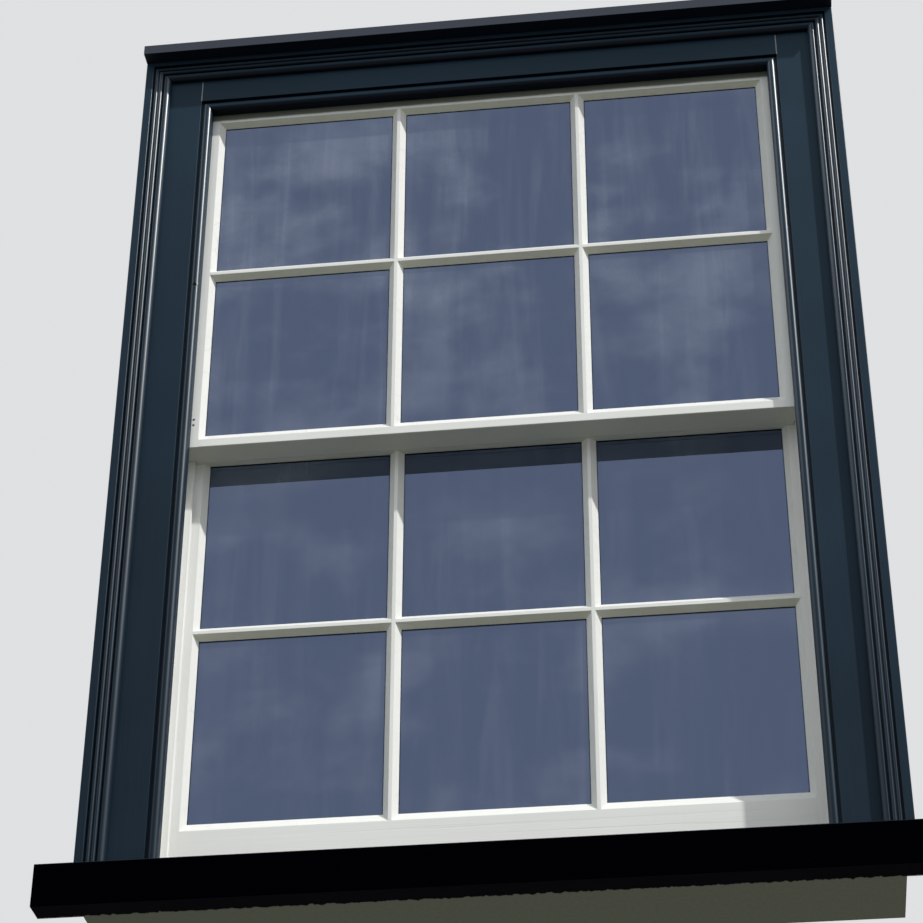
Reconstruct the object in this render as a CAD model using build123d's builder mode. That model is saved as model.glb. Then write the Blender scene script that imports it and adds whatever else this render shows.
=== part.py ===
# Box sash window, six panes over six, with its weights, cords and pulleys.
# Millimetres. X runs to the right seen from outside, Y into the room, Z up from the sill's underside.
import os
from math import radians, tan

from build123d import *

# glass and glazing bars
middle_pane = 272.5  # sight width of the middle column
side_pane = 281.5  # sight width of the two outer columns
pane_height = 298.2
bar = 22  # width of a bar behind the glass
bar_nose = 5.5  # width of a bar in front of the glass
glass = 3
glass_setback = 9  # from a sash's outer face to the glass
glass_play = 1.5

# sashes
sash_thickness = 38
stile_width = 31.5
top_rail = 34.4
meeting_rail = 25
top_putty = 7  # widths of the sloping putty, measured on the face
meeting_putty = 11.5
bottom_putty = 13.5
moulding = 6  # radius of the rounding on the room side
moulding_step = 1.5
play = 1.2  # between a sash and what it slides on
side_play = 1.5

# frame, from the outside in
sill_nose = 63
weathering = 9  # slope of the sill in degrees
sill_projection = 41
sill_horn = 64.25  # beyond the weight boxes
lining = 20
lining_width = 95.5
lining_lap = 12.5  # over the edge of a sash
lining_bead = 14
quirk = 3.5
bead_drop = 7
parting_bead = 8
bead_let_in = 8
stile_lap = 8
inner_lining = 18
staff_bead = 15
sill_bead_height = 25
pulley_stile = 20
box_width = 53
back_lining = 10
head_board = 20

# outer moulding
architrave = 42
architrave_rise = 15
side_lap = 25  # of the moulding over the linings
head_lap = 35
cap_height = 18.5
cap_projection = 25
cap_slope = 4
cap_overlap = 5.5

# heights
lower_glass = 168
meeting_top = 802

# cords, pulleys and weights
cord = 6
cord_bend = 25  # radius of the cord's centre line over a wheel
wheel_width = 12
wheel_rim = 28.5
pin = 4
running = 0.1
pulley_drop = 70  # below the head board
plate_height = 130
plate_width = 28
plate = 3
cheek = 2
cheek_gap = 14
cheek_height = 64
cord_groove = 15
cord_groove_depth = 14
cord_tail = 200  # from the top of a sash down to the knot
knot = 5.5
weight_radius = 19
upper_weight_length = 457
lower_weight_length = 505
upper_travel = 570
lower_travel = 575

# places worked out from the sizes above
half_glass = middle_pane / 2 + bar + side_pane
bar_place = (middle_pane + bar) / 2
rebate = glass_setback + glass
side_putty = (bar - bar_nose) / 2
sash_half = half_glass + stile_width
stile_face = sash_half + side_play
stile_back = stile_face + pulley_stile
box_inside = stile_back + box_width
box_half = box_inside + back_lining
lining_edge = stile_face - lining_lap
bead_zone = lining_bead + quirk
sill_half = box_half + sill_horn

depth = sill_projection + lining + 2 * sash_thickness + 4 * play + parting_bead + stile_lap + inner_lining
y_nose = -depth / 2
y_face = y_nose + sill_projection
y_box = y_face + lining
y_upper = y_box + play
y_bead = y_upper + sash_thickness + play
y_lower = y_bead + parting_bead + play
y_staff = y_lower + sash_thickness + play
y_inner = y_staff + stile_lap
y_back = y_inner + inner_lining

lower_cross = lower_glass + pane_height
meeting_low = meeting_top - meeting_rail
upper_cross = meeting_top + pane_height
upper_sight = upper_cross + bar + pane_height
sash_top = upper_sight + top_rail
head_low = sash_top + play
head_edge = head_low - lining_lap
head_top = head_edge + lining_width
sill_top = sill_nose + tan(radians(weathering)) * (y_inner - y_nose)
pulley_z = head_low - pulley_drop
wheel_x = stile_face - 7 - cord / 2 + cord_bend + 3
sash_cord_x = wheel_x - cord_bend
weight_x = wheel_x + cord_bend
sash_centre = sash_thickness / 2
cord_rows = {"upper": y_upper + sash_centre, "lower": y_lower + sash_centre}


def outline(*corners):
    # closed outline in the current sketch; a corner's third number rounds it
    with BuildLine(Plane.XY) as border:
        FilletPolyline(
            *[corner[:2] for corner in corners],
            radius=[corner[2] if len(corner) > 2 else 0 for corner in corners],
            close=True,
        )
    make_face(border.edges())


def board(x0, x1, y0, y1, z0, z1, mode=Mode.ADD):
    with Locations(((x0 + x1) / 2, (y0 + y1) / 2, (z0 + z1) / 2)):
        Box(x1 - x0, y1 - y0, z1 - z0, mode=mode)


def mitre(inner_x, corner_z, width, head=False):
    # cuts along the 45 degree line from the inner corner: a side piece's top, or both ends of a head piece
    with BuildSketch(Plane.XZ) as waste:
        if head:
            far, high = inner_x + width + 1, corner_z + width + 1
            outline((inner_x - 1, corner_z - 1), (far, high), (far, corner_z - 1))
            mirror(about=Plane.YZ)
        else:
            far, high = inner_x + width, corner_z + lining_width
            outline(
                (inner_x - 1, corner_z - 1), (far, corner_z + width), (far, high), (inner_x - 1, high)
            )
    extrude(waste.sketch, amount=depth, both=True, mode=Mode.SUBTRACT)


# sill: weathered top, with horns that run in front of the wall
weathering_plane = Plane(
    origin=(0, y_nose, sill_nose), x_dir=(1, 0, 0), z_dir=(0, -tan(radians(weathering)), 1)
)
with BuildPart() as sill:
    with BuildSketch(Plane.YZ):
        outline((y_nose, 0), (y_nose, sill_nose, 2), (y_inner, sill_top), (y_back, sill_top), (y_back, 0))
    extrude(amount=box_half, both=True)
    with BuildSketch(Plane.YZ):
        outline(
            (y_nose, 0),
            (y_nose, sill_nose, 2),
            (y_face, sill_nose + tan(radians(weathering)) * sill_projection),
            (y_face, 0),
        )
    extrude(amount=sill_half, both=True)

# pulley stiles: groove for the parting bead, a mortise and a sunk seat for each pulley, a pocket
pocket_low, pocket_height = 240, 380
pocket_y0, pocket_y1 = y_lower + 1, y_staff - 3
with BuildPart() as pulley_stile_right:
    board(stile_face, stile_back, y_box, y_inner, sill_nose, head_low)
    board(
        stile_face, stile_face + bead_let_in, y_bead, y_bead + parting_bead, sill_nose, head_low,
        mode=Mode.SUBTRACT,
    )
    for cord_y in cord_rows.values():
        with BuildSketch(Plane.YZ.offset(stile_face)):
            with Locations((cord_y, pulley_z)):
                SlotOverall(plate_height, plate_width, rotation=90)
        extrude(amount=plate, mode=Mode.SUBTRACT)
        mortise = cheek_gap / 2 + cheek + 0.5
        board(
            stile_face, stile_back, cord_y - mortise, cord_y + mortise,
            pulley_z - cheek_height / 2 - 1, pulley_z + cheek_height / 2 + 1, mode=Mode.SUBTRACT,
        )
        for screw_z in (pulley_z - 52, pulley_z + 52):
            with Locations(Location((stile_face + plate + 6, cord_y, screw_z), (0, 90, 0))):
                Cylinder(1.6, 12, mode=Mode.SUBTRACT)
    board(
        stile_face, stile_back, pocket_y0, pocket_y1, pocket_low, pocket_low + pocket_height,
        mode=Mode.SUBTRACT,
    )
    add(sill.part, mode=Mode.SUBTRACT)

with BuildPart() as pulley_stile_left:
    mirror(pulley_stile_right.part, about=Plane.YZ)

# pocket pieces: they lift out so that the weights can be reached
with BuildPart() as pocket_pieces:
    board(
        stile_face, stile_back, pocket_y0 + 0.3, pocket_y1 - 0.3,
        pocket_low + 0.3, pocket_low + pocket_height - 0.3,
    )
    with Locations(Location((stile_face + 6, (pocket_y0 + pocket_y1) / 2, pocket_low + 30), (0, -90, 0))):
        CounterSinkHole(2, 4.5, 14)
    mirror(about=Plane.YZ)

# head board over the stiles
with BuildPart() as head_board_piece:
    board(-box_inside, box_inside, y_box, y_inner, head_low, head_low + head_board)
    board(
        -stile_face, stile_face, y_bead, y_bead + parting_bead, head_low, head_low + bead_let_in,
        mode=Mode.SUBTRACT,
    )

# outer linings: a rounded bead and a quirk on the inner edge, mitred at the head
with BuildPart() as outer_lining_right:
    with BuildSketch(Plane.XY.offset(sill_nose)):
        outline(
            (lining_edge, y_box),
            (lining_edge, y_face, 6.5),
            (lining_edge + lining_bead, y_face, 6.5),
            (lining_edge + lining_bead, y_face + bead_drop),
            (lining_edge + bead_zone, y_face + bead_drop),
            (lining_edge + bead_zone, y_face),
            (lining_edge + lining_width, y_face, 1),
            (lining_edge + lining_width, y_box),
        )
    extrude(amount=head_top - sill_nose)
    mitre(lining_edge, head_edge, bead_zone)
    add(sill.part, mode=Mode.SUBTRACT)

with BuildPart() as outer_lining_left:
    mirror(outer_lining_right.part, about=Plane.YZ)

with BuildPart() as outer_lining_head:
    with BuildSketch(Plane.YZ):
        outline(
            (y_box, head_edge),
            (y_face, head_edge, 6.5),
            (y_face, head_edge + lining_bead, 6.5),
            (y_face + bead_drop, head_edge + lining_bead),
            (y_face + bead_drop, head_edge + bead_zone),
            (y_face, head_edge + bead_zone),
            (y_face, head_top, 1),
            (y_box, head_top),
        )
    extrude(amount=lining_edge + bead_zone, both=True)
    mitre(lining_edge, head_edge, bead_zone, head=True)

# inner linings, flush with the pulley stiles and the head board
with BuildPart() as inner_lining_right:
    board(stile_face, box_half, y_inner, y_back, sill_top, head_top)

with BuildPart() as inner_lining_left:
    mirror(inner_lining_right.part, about=Plane.YZ)

with BuildPart() as inner_lining_head:
    board(-stile_face, stile_face, y_inner, y_back, head_low, head_top)

# back linings close the weight boxes on the wall side
with BuildPart() as back_lining_right:
    board(box_inside, box_half, y_box, y_inner, sill_nose, head_top)
    add(sill.part, mode=Mode.SUBTRACT)

with BuildPart() as back_lining_left:
    mirror(back_lining_right.part, about=Plane.YZ)

# parting slips hang from the head board between the two weights of a box
with BuildPart() as parting_slips:
    board(stile_back + 1, box_inside - 1, y_bead + 1, y_bead + parting_bead - 1, 180, head_low)
    mirror(about=Plane.YZ)


def architrave_outline(foot, along_y):
    # bead, quirk, two reeds, quirk and flat fillet, from the foot outwards; rise is towards the street
    corners = [
        (0, 0), (0, 12, 7.5), (10, 12, 2), (10, 5), (13, 5), (13, 13, 3.2), (19.5, 13, 3.2), (19.5, 9.5),
        (20.5, 9.5), (20.5, 13, 3.2), (27, 13, 3.2), (27, 6), (29.5, 6),
        (29.5, architrave_rise, 0.8), (architrave, architrave_rise, 0.8), (architrave, 0),
    ]
    places = [
        (y_face - rise, foot + out, *rounding) if along_y else (foot + out, y_face - rise, *rounding)
        for out, rise, *rounding in corners
    ]
    outline(*places)


# architrave on three sides, mitred at the corners
side_foot = lining_edge + lining_width - side_lap
head_foot = head_edge + lining_width - head_lap
with BuildPart() as architrave_right:
    with BuildSketch(Plane.XY.offset(sill_nose)):
        architrave_outline(side_foot, False)
    extrude(amount=head_foot + architrave - sill_nose)
    mitre(side_foot, head_foot, architrave)
    add(sill.part, mode=Mode.SUBTRACT)

with BuildPart() as architrave_left:
    mirror(architrave_right.part, about=Plane.YZ)

with BuildPart() as architrave_head:
    with BuildSketch(Plane.YZ):
        architrave_outline(head_foot, True)
    extrude(amount=side_foot + architrave, both=True)
    mitre(side_foot, head_foot, architrave, head=True)

# drip cap, rebated over the top of the architrave
cap_low = head_foot + architrave - cap_overlap
y_moulding = y_face - architrave_rise
with BuildPart() as drip_cap:
    with BuildSketch(Plane.YZ):
        outline(
            (y_moulding - cap_projection, cap_low),
            (y_moulding - cap_projection, cap_low + cap_height, 1.5),
            (y_face, cap_low + cap_height + cap_slope),
            (y_face, cap_low + cap_overlap),
            (y_moulding, cap_low + cap_overlap),
            (y_moulding, cap_low),
        )
    extrude(amount=side_foot + architrave, both=True)
    chamfer(drip_cap.edges().filter_by(Axis.Y).group_by(Axis.Z)[-1], length=2.5)

# parting beads keep the two sashes apart
with BuildPart() as parting_bead_right:
    with BuildSketch(Plane.XY.offset(sill_nose)):
        outline(
            (lining_edge, y_bead, 1.5),
            (stile_face + bead_let_in, y_bead),
            (stile_face + bead_let_in, y_bead + parting_bead),
            (lining_edge, y_bead + parting_bead, 1.5),
        )
    extrude(amount=head_low - sill_nose)
    add(sill.part, mode=Mode.SUBTRACT)

with BuildPart() as parting_bead_left:
    mirror(parting_bead_right.part, about=Plane.YZ)

with BuildPart() as parting_bead_head:
    board(-stile_face, stile_face, y_bead, y_bead + parting_bead, head_edge, head_low + bead_let_in)
    add(parting_bead_right.part, mode=Mode.SUBTRACT)
    add(parting_bead_left.part, mode=Mode.SUBTRACT)

# staff beads hold the lower sash in from the room side
with BuildPart() as staff_bead_right:
    with BuildSketch(Plane.XY.offset(sill_nose)):
        outline(
            (stile_face - staff_bead, y_staff, 1),
            (stile_face, y_staff),
            (stile_face, y_back),
            (stile_face - staff_bead, y_back, 9),
        )
    extrude(amount=head_low - sill_nose)
    mitre(stile_face - staff_bead, head_low - staff_bead, staff_bead)
    add(sill.part, mode=Mode.SUBTRACT)

with BuildPart() as staff_bead_left:
    mirror(staff_bead_right.part, about=Plane.YZ)

with BuildPart() as staff_bead_head:
    with BuildSketch(Plane.YZ):
        outline(
            (y_staff, head_low - staff_bead, 1),
            (y_staff, head_low),
            (y_back, head_low),
            (y_back, head_low - staff_bead, 9),
        )
    extrude(amount=stile_face, both=True)
    mitre(stile_face - staff_bead, head_low - staff_bead, staff_bead, head=True)

with BuildPart() as staff_bead_sill:
    with BuildSketch(Plane.YZ):
        outline(
            (y_staff, sill_nose),
            (y_staff, sill_top + sill_bead_height, 1),
            (y_back, sill_top + sill_bead_height, 9),
            (y_back, sill_nose),
        )
    extrude(amount=stile_face, both=True)
    add(sill.part, mode=Mode.SUBTRACT)
    add(staff_bead_right.part, mode=Mode.SUBTRACT)
    add(staff_bead_left.part, mode=Mode.SUBTRACT)

# pulleys: a faced case with its riveted pin, and the grooved wheel
with BuildPart() as pulley_cases:
    for cord_y in cord_rows.values():
        with BuildSketch(Plane.YZ.offset(stile_face)):
            with Locations((cord_y, pulley_z)):
                SlotOverall(plate_height, plate_width, rotation=90)
                SlotOverall(cheek_height - 4, cheek_gap, rotation=90, mode=Mode.SUBTRACT)
        extrude(amount=plate)
        for cheek_y in (cord_y - cheek_gap / 2 - cheek, cord_y + cheek_gap / 2):
            board(
                stile_face + plate, wheel_x + wheel_rim, cheek_y, cheek_y + cheek,
                pulley_z - cheek_height / 2, pulley_z + cheek_height / 2,
            )
        with Locations(Location((wheel_x, cord_y, pulley_z), (90, 0, 0))):
            Cylinder(pin, cheek_gap + 2 * cheek)
        for screw_z in (pulley_z - 52, pulley_z + 52):
            with Locations(Location((stile_face, cord_y, screw_z), (0, -90, 0))):
                CounterSinkHole(1.7, 3.6, plate)
    mirror(about=Plane.YZ)

wheels = {}
for side, row in (("left", "upper"), ("right", "upper"), ("left", "lower"), ("right", "lower")):
    with BuildPart() as wheel:
        with BuildSketch(Plane.XY):
            with BuildLine():
                Polyline(
                    (cord_bend, cord / 2 + 0.3), (wheel_rim, cord / 2 + 0.3), (wheel_rim, wheel_width / 2),
                    (20, wheel_width / 2), (18, wheel_width / 2 - 2.5), (10, wheel_width / 2 - 2.5),
                    (8.5, wheel_width / 2), (pin + running, wheel_width / 2), (pin + running, 0),
                    (cord_bend - cord / 2 - 0.3, 0),
                )
                CenterArc((cord_bend, 0), cord / 2 + 0.3, 90, 90)
            make_face()
            mirror(about=Plane.XZ)
        revolve(axis=Axis.Y)
    place = Pos(wheel_x if side == "right" else -wheel_x, cord_rows[row], pulley_z)
    wheels[f"{row}_{side}_wheel"] = place * wheel.part

# weights, bored at the top for the knotted cord
weight_tops = {
    "upper": pulley_z - cheek_height / 2 - 9 - upper_travel,
    "lower": sill_top + 6 + lower_travel + lower_weight_length,
}
weight_lengths = {"upper": upper_weight_length, "lower": lower_weight_length}
weights = {}
for side, row in (("left", "upper"), ("right", "upper"), ("left", "lower"), ("right", "lower")):
    length = weight_lengths[row]
    with BuildPart() as weight:
        with BuildSketch(Plane.XZ):
            outline(
                (0, 0), (weight_radius, 0, 3), (weight_radius, length - 14, 2), (12, length), (0, length)
            )
        revolve(axis=Axis.Z)
        with Locations((0, 0, length)):
            Hole(cord / 2 + 0.8, depth=26)
    place = Pos(weight_x if side == "right" else -weight_x, cord_rows[row], weight_tops[row] - length)
    weights[f"{row}_{side}_weight"] = place * weight.part

# sash cords: knotted in the stile's groove, over the wheel and down to the weight
sash_tops = {"upper": sash_top, "lower": meeting_top}
cords = {}
for row, cord_y in cord_rows.items():
    with BuildPart() as cord_pair:
        with BuildLine(Plane.XZ.offset(-cord_y)):
            rise = Line((sash_cord_x, sash_tops[row] - cord_tail), (sash_cord_x, pulley_z))
            turn = CenterArc((wheel_x, pulley_z), cord_bend, 180, -180)
            fall = Line((weight_x, pulley_z), (weight_x, weight_tops[row] - 22))
        with BuildSketch(Plane(origin=rise @ 0, z_dir=rise % 0)):
            Circle(cord / 2)
        sweep()
        with Locations((sash_cord_x, cord_y, sash_tops[row] - cord_tail)):
            Sphere(knot)
        mirror(about=Plane.YZ)
    print(row, "cord length", round((rise.length + turn.length + fall.length)), "mm")
    cords[f"{row}_cords"] = cord_pair.part

# screws of the pulley plates and of the pocket pieces
with BuildPart() as frame_screws:
    for cord_y in cord_rows.values():
        for screw_z in (pulley_z - 52, pulley_z + 52):
            with Locations(Location((stile_face, cord_y, screw_z), (0, 90, 0))):
                Cone(3.4, 1.5, 1.9, align=(Align.CENTER, Align.CENTER, Align.MIN))
                Cylinder(1.5, 14, align=(Align.CENTER, Align.CENTER, Align.MIN))
    with Locations(Location((stile_face + 6, (pocket_y0 + pocket_y1) / 2, pocket_low + 30), (0, 90, 0))):
        Cone(4.2, 1.8, 2.4, align=(Align.CENTER, Align.CENTER, Align.MIN))
        Cylinder(1.8, 13, align=(Align.CENTER, Align.CENTER, Align.MIN))
    mirror(about=Plane.YZ)


def bar_section(place, front, upright):
    # a glazing bar: nose in front of the glass, shoulders behind it, rounded down to the room side
    back = front + sash_thickness
    half_nose, half = bar_nose / 2, bar / 2
    inner = half - moulding - moulding_step
    right_side = [
        (half_nose, front), (half_nose, front + rebate), (half, front + rebate),
        (half, back - 2, moulding), (inner, back - 2), (inner, back),
    ]
    left_side = [(-across, *rest) for across, *rest in reversed(right_side)]
    places = [
        (place + across, y, *rounding) if upright else (y, place + across, *rounding)
        for across, y, *rounding in right_side + left_side
    ]
    outline(*places)


# sash stiles: rebated for the glass, moulded inside, grooved on the edge for the cord
stiles = {}
stile_ends = {"upper": (meeting_low, sash_top), "lower": (sill_nose, meeting_top)}
fronts = {"upper": y_upper, "lower": y_lower}
sill_gap = weathering_plane.offset(1)
for row, front in fronts.items():
    low, high = stile_ends[row]
    back = front + sash_thickness
    with BuildPart() as stile_right:
        with BuildSketch(Plane.XY.offset(low)):
            outline(
                (half_glass + side_putty, front),
                (sash_half, front, 1),
                (sash_half, back, 1),
                (half_glass + moulding + moulding_step, back),
                (half_glass + moulding + moulding_step, back - 2),
                (half_glass, back - 2, moulding),
                (half_glass, front + rebate),
                (half_glass + side_putty, front + rebate),
            )
        extrude(amount=high - low)
        board(
            sash_half - cord_groove_depth, sash_half, cord_rows[row] - cord_groove / 2,
            cord_rows[row] + cord_groove / 2, high - cord_tail - 30, high, mode=Mode.SUBTRACT,
        )
        split(bisect_by=sill_gap, keep=Keep.TOP)
    with BuildPart() as stile_left:
        mirror(stile_right.part, about=Plane.YZ)
    stiles[row] = (stile_left.part, stile_right.part)

# rails run between the stiles and are scribed to them; the meeting rails close on a splayed joint
rail_half = half_glass + side_putty
joint_top = y_bead + 2
joint_low = joint_top + 4
joint_gap = 0.8
lip_half = lining_edge - 1.5


def between_stiles(row):
    for stile in stiles[row]:
        add(stile, mode=Mode.SUBTRACT)


back = y_upper + sash_thickness
with BuildPart() as upper_top_rail:
    with BuildSketch(Plane.YZ):
        outline(
            (y_upper, upper_sight + top_putty),
            (y_upper, sash_top, 1),
            (back, sash_top, 1),
            (back, upper_sight + moulding + moulding_step),
            (back - 2, upper_sight + moulding + moulding_step),
            (back - 2, upper_sight, moulding),
            (y_upper + rebate, upper_sight),
            (y_upper + rebate, upper_sight + top_putty),
        )
    extrude(amount=rail_half, both=True)
    between_stiles("upper")

with BuildPart() as upper_meeting_rail:
    with BuildSketch(Plane.YZ):
        outline(
            (y_upper, meeting_low, 1),
            (y_upper, meeting_top - meeting_putty),
            (y_upper + rebate, meeting_top - meeting_putty),
            (y_upper + rebate, meeting_top),
            (back, meeting_top),
            (back, meeting_low),
        )
    extrude(amount=rail_half, both=True)
    with BuildSketch(Plane.YZ):
        outline(
            (back, meeting_low), (back, meeting_top), (joint_top, meeting_top), (joint_low, meeting_low)
        )
    extrude(amount=lip_half, both=True)
    between_stiles("upper")

back = y_lower + sash_thickness
with BuildPart() as lower_meeting_rail:
    with BuildSketch(Plane.YZ):
        outline(
            (y_lower, meeting_low),
            (y_lower, meeting_top),
            (back, meeting_top, 1),
            (back, meeting_low + moulding + moulding_step),
            (back - 2, meeting_low + moulding + moulding_step),
            (back - 2, meeting_low, moulding),
        )
    extrude(amount=rail_half, both=True)
    with BuildSketch(Plane.YZ):
        outline(
            (joint_low + joint_gap, meeting_low),
            (joint_top + joint_gap, meeting_top),
            (y_lower, meeting_top),
            (y_lower, meeting_low),
        )
    extrude(amount=lip_half, both=True)
    board(
        -rail_half, rail_half, y_lower + glass_setback - 0.1, y_lower + rebate + 0.1,
        meeting_low, meeting_low + 11, mode=Mode.SUBTRACT,
    )
    between_stiles("lower")

with BuildPart() as lower_bottom_rail:
    with BuildSketch(Plane.YZ):
        outline(
            (y_lower, sill_nose),
            (y_lower, lower_glass - bottom_putty),
            (y_lower + rebate, lower_glass - bottom_putty),
            (y_lower + rebate, lower_glass),
            (back - 2, lower_glass, moulding),
            (back - 2, lower_glass - moulding - moulding_step),
            (back, lower_glass - moulding - moulding_step),
            (back, sill_nose),
        )
    extrude(amount=rail_half, both=True)
    split(bisect_by=sill_gap, keep=Keep.TOP)
    between_stiles("lower")

# glazing bars, panes and putty of both sashes
rails = {
    "upper": (upper_meeting_rail.part, upper_top_rail.part),
    "lower": (lower_bottom_rail.part, lower_meeting_rail.part),
}
sights = {"upper": (meeting_top, upper_sight), "lower": (lower_glass, meeting_low)}
end_putties = {"upper": (meeting_putty, top_putty), "lower": (bottom_putty, 0)}
crosses = {"upper": upper_cross, "lower": lower_cross}
columns = (
    (-half_glass, -half_glass + side_pane),
    (-middle_pane / 2, middle_pane / 2),
    (half_glass - side_pane, half_glass),
)
bars, cross_bars, panes, putties = {}, {}, {}, {}
for row, front in fronts.items():
    sight_low, sight_high = sights[row]
    low_putty, high_putty = end_putties[row]
    cross = crosses[row]
    with BuildPart() as upright_bars:
        for place in (-bar_place, bar_place):
            with BuildSketch(Plane.XY.offset(sight_low - low_putty)):
                bar_section(place, front, True)
        extrude(amount=sight_high + high_putty - sight_low + low_putty)
        for rail in rails[row]:
            add(rail, mode=Mode.SUBTRACT)
    with BuildPart() as level_bars:
        with BuildSketch(Plane.YZ):
            bar_section(cross + bar / 2, front, False)
        extrude(amount=rail_half, both=True)
        add(upright_bars.part, mode=Mode.SUBTRACT)
        between_stiles(row)
    glass_rows = (
        (sight_low, cross, low_putty, side_putty),
        (cross + bar, sight_high, side_putty, high_putty),
    )
    with BuildPart() as glazing:
        for x0, x1 in columns:
            for z0, z1, under, over in glass_rows:
                pane_top = z1 + over - glass_play if over else z1 + 10
                board(
                    x0 - side_putty + glass_play, x1 + side_putty - glass_play,
                    front + glass_setback, front + rebate, z0 - under + glass_play, pane_top,
                )
    with BuildPart() as putty:
        for x0, x1 in columns:
            for z0, z1, under, over in glass_rows:
                board(
                    x0 - side_putty, x1 + side_putty, front, front + glass_setback, z0 - under, z1 + over
                )
                with BuildSketch(Plane.XZ.offset(-front)) as street_side:
                    outline(
                        (x0 - side_putty, z0 - under), (x1 + side_putty, z0 - under),
                        (x1 + side_putty, z1 + over), (x0 - side_putty, z1 + over),
                    )
                with BuildSketch(Plane.XZ.offset(-front - glass_setback)) as glass_side:
                    outline((x0, z0), (x1, z0), (x1, z1), (x0, z1))
                loft(mode=Mode.SUBTRACT)
    bars[row] = upright_bars.part
    cross_bars[row] = level_bars.part
    panes[row] = glazing.part
    putties[row] = putty.part

# fastener on the meeting rails: base and arm on the lower sash, keep on the upper one
pivot_x, pivot_y = 18, y_lower + 14.6
arm_low, arm_thick = 12, 5
base_plate = 3
base_screws = [(pivot_x - 38, pivot_y), (pivot_x + 14, pivot_y)]
keep_places = [(13, pivot_y - 33), (38, pivot_y - 33)]
with BuildPart() as fastener_base:
    with BuildSketch(Plane.XY.offset(meeting_top)):
        with Locations((pivot_x - 13, pivot_y)):
            SlotOverall(68, 24)
    extrude(amount=base_plate)
    with Locations((pivot_x, pivot_y, meeting_top)):
        Cylinder(9, arm_low, align=(Align.CENTER, Align.CENTER, Align.MIN))
        Cylinder(pin, arm_low + arm_thick + 3, align=(Align.CENTER, Align.CENTER, Align.MIN))
    with Locations((pivot_x, pivot_y, meeting_top + arm_low + arm_thick + running)):
        Cone(6.5, 5, 3, align=(Align.CENTER, Align.CENTER, Align.MIN))
    with Locations(*[(*place, meeting_top + base_plate) for place in base_screws]):
        CounterSinkHole(1.7, 3.6, base_plate)

# the arm: cam tongue to the right, handle to the left, with a stem under the knob
knob_x = pivot_x - 30
with BuildPart() as fastener_arm:
    with BuildSketch(Plane.XY.offset(meeting_top + arm_low)):
        with Locations((pivot_x, pivot_y)):
            Circle(9)
        with BuildLine():
            Polyline(
                (pivot_x, pivot_y - 5), (pivot_x + 34, pivot_y - 5), (pivot_x + 38, pivot_y - 1),
                (pivot_x + 38, pivot_y + 5), (pivot_x, pivot_y + 5), close=True,
            )
        make_face()
        with Locations(((pivot_x + knob_x) / 2, pivot_y)):
            SlotCenterToCenter(pivot_x - knob_x, 9)
        with Locations((pivot_x, pivot_y)):
            Circle(pin + running, mode=Mode.SUBTRACT)
    extrude(amount=arm_thick - running)
    with Locations((knob_x, pivot_y, meeting_top + arm_low + arm_thick - running)):
        Cylinder(4, 5 + running, align=(Align.CENTER, Align.CENTER, Align.MIN))

with BuildPart() as fastener_knob:
    with BuildSketch(Plane.XZ):
        outline((0, 22), (5, 22), (13.8, 28, 4), (13.8, 36, 6), (8, 47, 6), (0, 47))
    revolve(axis=Axis.Z)
knob_piece = Pos(knob_x, pivot_y, meeting_top) * fastener_knob.part

with BuildPart() as fastener_keep:
    board(2, 46, pivot_y - 42, pivot_y - 24, meeting_top, meeting_top + base_plate)
    board(3, 7, pivot_y - 42, pivot_y - 28, meeting_top, meeting_top + arm_low + arm_thick + 4)
    board(
        3, 28, pivot_y - 42, pivot_y - 28,
        meeting_top + arm_low + arm_thick + 1, meeting_top + arm_low + arm_thick + 4,
    )
    fillet(fastener_keep.edges().filter_by(Axis.Y).group_by(Axis.Z)[-1], radius=1.5)
    with Locations(*[(*place, meeting_top + base_plate) for place in keep_places]):
        CounterSinkHole(1.7, 3.6, base_plate)

# hook lifts on the room side of the bottom rail
lift_place = 250
lift_width = 34
lift_height = 42
lift_low = lower_glass - moulding - moulding_step - lift_height - 3
hook_reach = 21
hook_height = 24
lift_screws = [
    (place + shift, lift_low + lift_height - 8)
    for place in (-lift_place, lift_place)
    for shift in (-10, 10)
]
face = y_lower + sash_thickness
with BuildPart() as sash_lifts:
    for place in (-lift_place, lift_place):
        tip, hook_low = face + hook_reach, lift_low + hook_height - 14
        with BuildSketch(Plane.YZ.offset(place - lift_width / 2)):
            outline(
                (face, lift_low), (face, lift_low + lift_height), (face + 3, lift_low + lift_height, 1),
                (face + 3, hook_low + 4, 8), (tip - 4, hook_low + 4, 5), (tip - 4, hook_low + 14, 1),
                (tip, hook_low + 14, 1), (tip, hook_low, 8), (face + 3, hook_low, 2), (face + 3, lift_low),
            )
        extrude(amount=lift_width)
    with Locations(*[Location((x, face + 3, z), (-90, 0, 0)) for x, z in lift_screws]):
        CounterSinkHole(1.7, 3.6, 3)

# screws of the fastener's keep, and of its base and the lifts
with BuildPart() as keep_screws:
    with Locations(*[Location((*place, meeting_top + base_plate), (180, 0, 0)) for place in keep_places]):
        Cone(3.4, 1.5, 1.9, align=(Align.CENTER, Align.CENTER, Align.MIN))
        Cylinder(1.5, 16, align=(Align.CENTER, Align.CENTER, Align.MIN))

with BuildPart() as lower_screws:
    with Locations(
        *[Location((*place, meeting_top + base_plate), (180, 0, 0)) for place in base_screws],
        *[Location((x, face + 3, z), (90, 0, 0)) for x, z in lift_screws],
    ):
        Cone(3.4, 1.5, 1.9, align=(Align.CENTER, Align.CENTER, Align.MIN))
        Cylinder(1.5, 16, align=(Align.CENTER, Align.CENTER, Align.MIN))

# pilot holes for those screws
with BuildPart() as keep_rail:
    add(upper_meeting_rail.part)
    with Locations(*[(*place, meeting_top) for place in keep_places]):
        Hole(1.6, depth=14)

with BuildPart() as base_rail:
    add(lower_meeting_rail.part)
    with Locations(*[(*place, meeting_top) for place in base_screws]):
        Hole(1.6, depth=14)

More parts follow.
